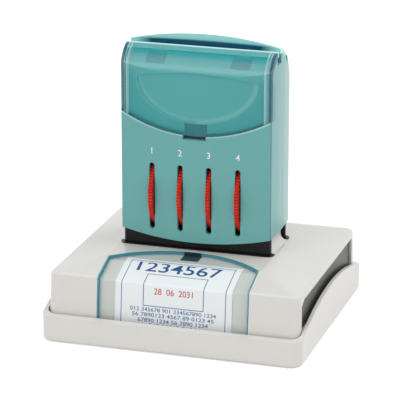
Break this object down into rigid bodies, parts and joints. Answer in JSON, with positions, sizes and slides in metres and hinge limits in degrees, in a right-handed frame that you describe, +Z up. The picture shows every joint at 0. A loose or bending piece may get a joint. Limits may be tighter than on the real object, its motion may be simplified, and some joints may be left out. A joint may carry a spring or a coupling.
{
  "type": "date and time stamp machine",
  "caption": "Pre-inked office date stamp with thumb wheels in a tall handle, a hinged lid, an index window and a dust cover tray.",
  "frame": {"origin": "middle of the dust cover's underside", "axes": "+Z up, +X to the right of someone who faces the wheels, -Y towards them"},
  "size_m": [0.1036, 0.0976, 0.1133],
  "materials": {
    "shell_white": "satin",
    "panel_grey": "satin",
    "window_clear": "clear",
    "card_white": "matte",
    "frame_black": "satin",
    "handle_teal": "satin",
    "lid_turquoise": "tinted clear",
    "catch_dark": "satin",
    "wheel_red": "satin",
    "steel": "satin",
    "felt_ink": "matte",
    "die_rubber": "matte",
    "band_rubber": "matte"
  },
  "bodies": {
    "cover": {"dust_cover": "shell_white"},
    "base": {"housing_shell": "shell_white", "side_panel_left": "panel_grey", "side_panel_right": "panel_grey", "base_frame": "frame_black", "base_screws": "steel", "neck_guide_front": "frame_black", "neck_guide_rear": "frame_black", "return_springs": "steel", "index_card": "card_white", "window_catch": "frame_black"},
    "window": {"index_window": "window_clear"},
    "handle": {"neck_frame": "frame_black", "front_shell": "handle_teal", "handle_body": "handle_teal", "rear_shell": "handle_teal", "top_cap": "lid_turquoise", "lid_clip_left": "catch_dark", "lid_clip_right": "catch_dark", "lid_latch": "catch_dark", "wheel_axle": "steel", "axle_clips": "steel", "wheel_spacers": "frame_black", "band_platen": "frame_black", "platen_felt": "felt_ink", "detent_comb": "steel", "message_die": "die_rubber", "ink_felt": "felt_ink", "die_holder": "frame_black", "holder_screws": "steel", "shell_screws": "steel", "type_band_1": "band_rubber", "type_band_2": "band_rubber", "type_band_3": "band_rubber", "type_band_4": "band_rubber"},
    "lid": {"front_lid": "lid_turquoise"},
    "wheel_1": {"thumb_wheel_1": "wheel_red", "band_drum_1": "wheel_red"},
    "wheel_2": {"thumb_wheel_2": "wheel_red", "band_drum_2": "wheel_red"},
    "wheel_3": {"thumb_wheel_3": "wheel_red", "band_drum_3": "wheel_red"},
    "wheel_4": {"thumb_wheel_4": "wheel_red", "band_drum_4": "wheel_red"}
  },
  "joints": [
    {"name": "stamp_lift", "type": "slide", "parent": "cover", "child": "base", "axis": [0, 0, 1], "range_m": [0, 0.06]},
    {"name": "window_lift", "type": "slide", "parent": "base", "child": "window", "axis": [0, 0, 1], "range_m": [0, 0.011]},
    {"name": "press_slide", "type": "slide", "parent": "base", "child": "handle", "axis": [0, 0, -1], "range_m": [0, 0.0028], "stiffness_N_per_m": 2500, "springref_m": -0.004, "deforming": ["return_springs"]},
    {"name": "lid_hinge", "type": "hinge", "parent": "handle", "child": "lid", "pos_m": [0, -0.005, 0.1062], "axis": [-1, 0, 0], "range_deg": [0, 75]},
    {"name": "wheel_1_turn", "type": "hinge", "parent": "handle", "child": "wheel_1", "pos_m": [0, -0.0026, 0.0515], "axis": [1, 0, 0], "continuous": true},
    {"name": "wheel_2_turn", "type": "hinge", "parent": "handle", "child": "wheel_2", "pos_m": [0, -0.0026, 0.0515], "axis": [1, 0, 0], "continuous": true},
    {"name": "wheel_3_turn", "type": "hinge", "parent": "handle", "child": "wheel_3", "pos_m": [0, -0.0026, 0.0515], "axis": [1, 0, 0], "continuous": true},
    {"name": "wheel_4_turn", "type": "hinge", "parent": "handle", "child": "wheel_4", "pos_m": [0, -0.0026, 0.0515], "axis": [1, 0, 0], "continuous": true}
  ]
}
